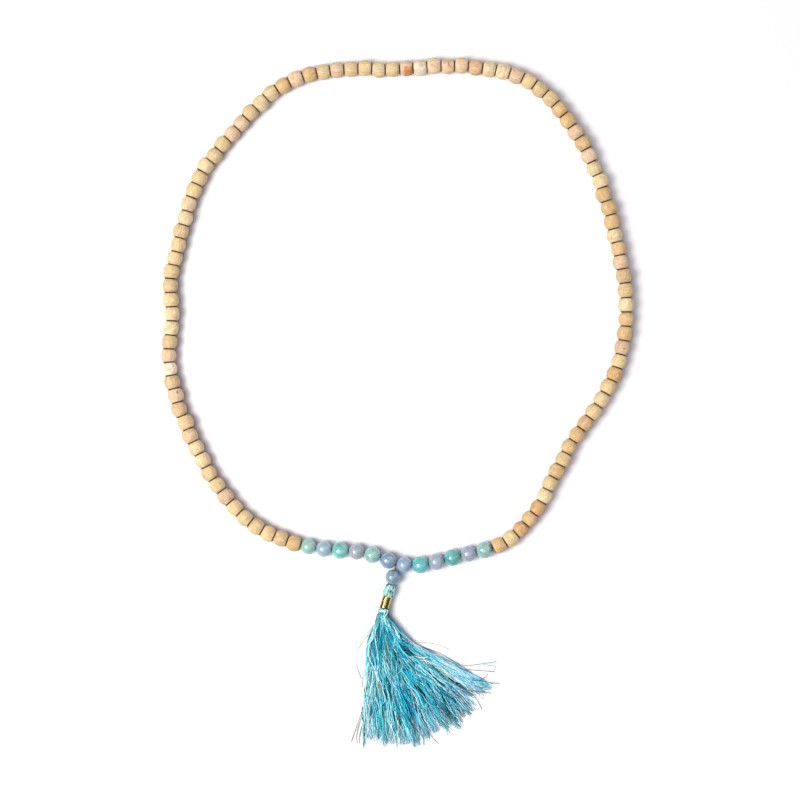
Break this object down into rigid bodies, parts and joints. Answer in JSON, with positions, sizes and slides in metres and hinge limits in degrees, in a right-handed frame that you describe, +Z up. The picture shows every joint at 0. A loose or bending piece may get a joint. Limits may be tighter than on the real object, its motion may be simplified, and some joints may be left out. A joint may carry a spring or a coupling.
{
  "type": "mala",
  "caption": "Prayer-bead loop of small wood barrels with a run of polished stone beads, a guru bead and a thread tassel, laid flat.",
  "frame": {"origin": "centre of the bounding box's footprint, on the surface that the mala lies on", "axes": "+Z up from the surface, +Y from the tassel to the top of the loop, +X to the right seen from above"},
  "size_m": [0.2364, 0.3462, 0.0087],
  "materials": {
    "wood_pale": "matt, unvarnished",
    "wood_honey": "matt, unvarnished",
    "stone_bead_01": "polished, milky, pale green",
    "stone_bead_02": "polished, milky, milky grey-blue",
    "stone_bead_03": "polished, milky, teal green",
    "stone_bead_04": "polished, milky, grey-lavender",
    "stone_bead_05": "polished, milky, sage green",
    "stone_bead_06": "polished, milky, blue-grey",
    "stone_bead_07": "polished, milky, lavender blue",
    "stone_bead_08": "polished, milky, bright teal",
    "stone_bead_09": "polished, milky, grey-lavender",
    "stone_bead_10": "polished, milky, deep teal",
    "stone_bead_11": "polished, milky, lavender grey",
    "stone_bead_12": "polished, milky, pale mint",
    "guru_bead": "polished, milky, slate blue",
    "thread": "twisted cotton, brown",
    "tassel": "silky turquoise, teal and white threads",
    "tassel_band": "shiny gold thread binding"
  },
  "bodies": {
    "root": {"wood_beads_left": "wood_pale", "wood_beads_right": "wood_honey", "stone_bead_01": "stone_bead_01", "stone_bead_02": "stone_bead_02", "stone_bead_03": "stone_bead_03", "stone_bead_04": "stone_bead_04", "stone_bead_05": "stone_bead_05", "stone_bead_06": "stone_bead_06", "stone_bead_07": "stone_bead_07", "stone_bead_08": "stone_bead_08", "stone_bead_09": "stone_bead_09", "stone_bead_10": "stone_bead_10", "stone_bead_11": "stone_bead_11", "stone_bead_12": "stone_bead_12", "guru_bead": "guru_bead", "thread": "thread", "tassel": "tassel", "tassel_band": "tassel_band"}
  },
  "joints": []
}
